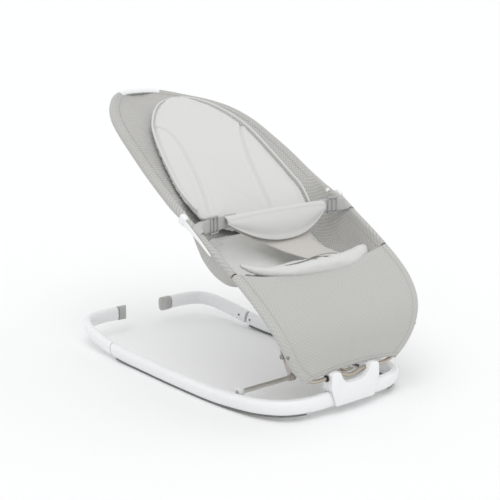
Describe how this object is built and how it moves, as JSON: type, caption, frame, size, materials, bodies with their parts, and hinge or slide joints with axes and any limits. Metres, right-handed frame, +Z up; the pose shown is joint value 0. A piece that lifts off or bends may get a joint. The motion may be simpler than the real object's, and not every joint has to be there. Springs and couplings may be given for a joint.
{
  "type": "baby bouncer seat",
  "caption": "Reclined fabric sling seat with padded liner and lap belt, hinged by a sprung wire frame to a low white rocker hoop base.",
  "frame": {"origin": "centre of the footprint box, on the floor under the grip strips", "axes": "+Z up; +Y from the foot end to the head end; +X to the sitter's left, across the seat"},
  "size_m": [0.412, 0.7079, 0.5462],
  "materials": {
    "white_shell": "satin white moulded rail",
    "white_cover": "satin white moulded cover",
    "grey_cap": "matte grey",
    "grip_rubber": "dark soft rubber",
    "wire_metal": "warm bright plated wire",
    "bar_metal": "satin warm grey",
    "link_metal": "light pinkish silver",
    "tube_metal": "bare tube inside a fabric sleeve",
    "screw_metal": "satin",
    "dark_insert": "dark grommet",
    "knit_lower": "fine knit, pale grey",
    "mesh_upper": "open mesh knit, grey",
    "liner_fabric": "soft padded jersey, light grey",
    "belt_fabric": "soft padded cloth, light grey",
    "crotch_fabric": "warm beige-grey mesh",
    "webbing": "flat woven webbing",
    "buckle_grey": "grey moulded plastic"
  },
  "bodies": {
    "base": {"base_hoop": "white_shell", "rear_arm_left": "white_shell", "rear_arm_right": "white_shell", "joint_spigot_left": "grey_cap", "joint_spigot_right": "grey_cap", "joint_screw_left_front": "screw_metal", "joint_screw_left_rear": "screw_metal", "joint_screw_right_front": "screw_metal", "joint_screw_right_rear": "screw_metal", "end_cap_left": "grey_cap", "end_cap_right": "grey_cap", "grip_strip_left": "grip_rubber", "grip_strip_right": "grip_rubber", "bracket_front_shell": "white_cover", "bracket_rear_shell": "white_cover", "bracket_screw_left": "screw_metal", "bracket_screw_right": "screw_metal", "wire_grommet_left": "dark_insert", "wire_grommet_right": "dark_insert", "crossbar": "bar_metal", "crossbar_socket_left": "white_cover", "crossbar_socket_right": "white_cover", "link_washer_left_inner": "bar_metal", "link_washer_left_outer": "bar_metal", "link_washer_right_inner": "bar_metal", "link_washer_right_outer": "bar_metal"},
    "seat": {"seat_wire": "wire_metal", "tail_loop": "wire_metal", "link_pin": "wire_metal", "pin_cap_left": "screw_metal", "pin_cap_right": "screw_metal", "calf_panel": "knit_lower", "seat_pocket": "mesh_upper", "liner_seat": "liner_fabric", "liner_lip": "liner_fabric", "belt_flap": "belt_fabric", "crotch_strap": "crotch_fabric", "belt_strap_left": "webbing", "belt_strap_right": "webbing", "lower_sleeve_left": "knit_lower", "lower_sleeve_right": "knit_lower", "hub_base_left": "white_cover", "hub_base_right": "white_cover", "hub_pin_left": "screw_metal", "hub_pin_right": "screw_metal"},
    "backrest": {"back_tube": "tube_metal", "head_rail_cover": "white_cover", "back_sling": "mesh_upper", "liner_back": "liner_fabric", "hub_arm_left": "white_cover", "hub_arm_right": "white_cover", "back_sleeve_left": "mesh_upper", "back_sleeve_right": "mesh_upper"},
    "left_link": {"travel_link_left": "link_metal"},
    "right_link": {"travel_link_right": "link_metal"},
    "left_adjuster": {"adjuster_left": "buckle_grey"},
    "right_adjuster": {"adjuster_right": "buckle_grey"}
  },
  "joints": [
    {"name": "bounce", "type": "hinge", "parent": "base", "child": "seat", "pos_m": [0, -0.3396, 0.0721], "axis": [1, 0, 0], "range_deg": [-3, 3], "stiffness_Nm_per_rad": 260, "springref_deg": 1.15},
    {"name": "recline", "type": "hinge", "parent": "seat", "child": "backrest", "pos_m": [0, -0.0926, 0.3466], "axis": [1, 0, 0], "range_deg": [-6, 12]},
    {"name": "left_link_swing", "type": "hinge", "parent": "base", "child": "left_link", "pos_m": [-0.03, -0.2076, 0.0316], "axis": [1, 0, 0], "range_deg": [-6, 6]},
    {"name": "right_link_swing", "type": "hinge", "parent": "base", "child": "right_link", "pos_m": [0.03, -0.2076, 0.0316], "axis": [1, 0, 0], "range_deg": [-6, 6]},
    {"name": "left_adjuster_slide", "type": "slide", "parent": "seat", "child": "left_adjuster", "axis": [-0.9781, -0.2057, -0.0304], "range_m": [-0.008, 0.014]},
    {"name": "right_adjuster_slide", "type": "slide", "parent": "seat", "child": "right_adjuster", "axis": [0.9781, -0.2057, -0.0304], "range_m": [-0.008, 0.014]}
  ],
  "couplings": [
    {"joint": "left_link_swing", "follows": "bounce", "ratio": 1.72},
    {"joint": "right_link_swing", "follows": "bounce", "ratio": 1.72}
  ]
}
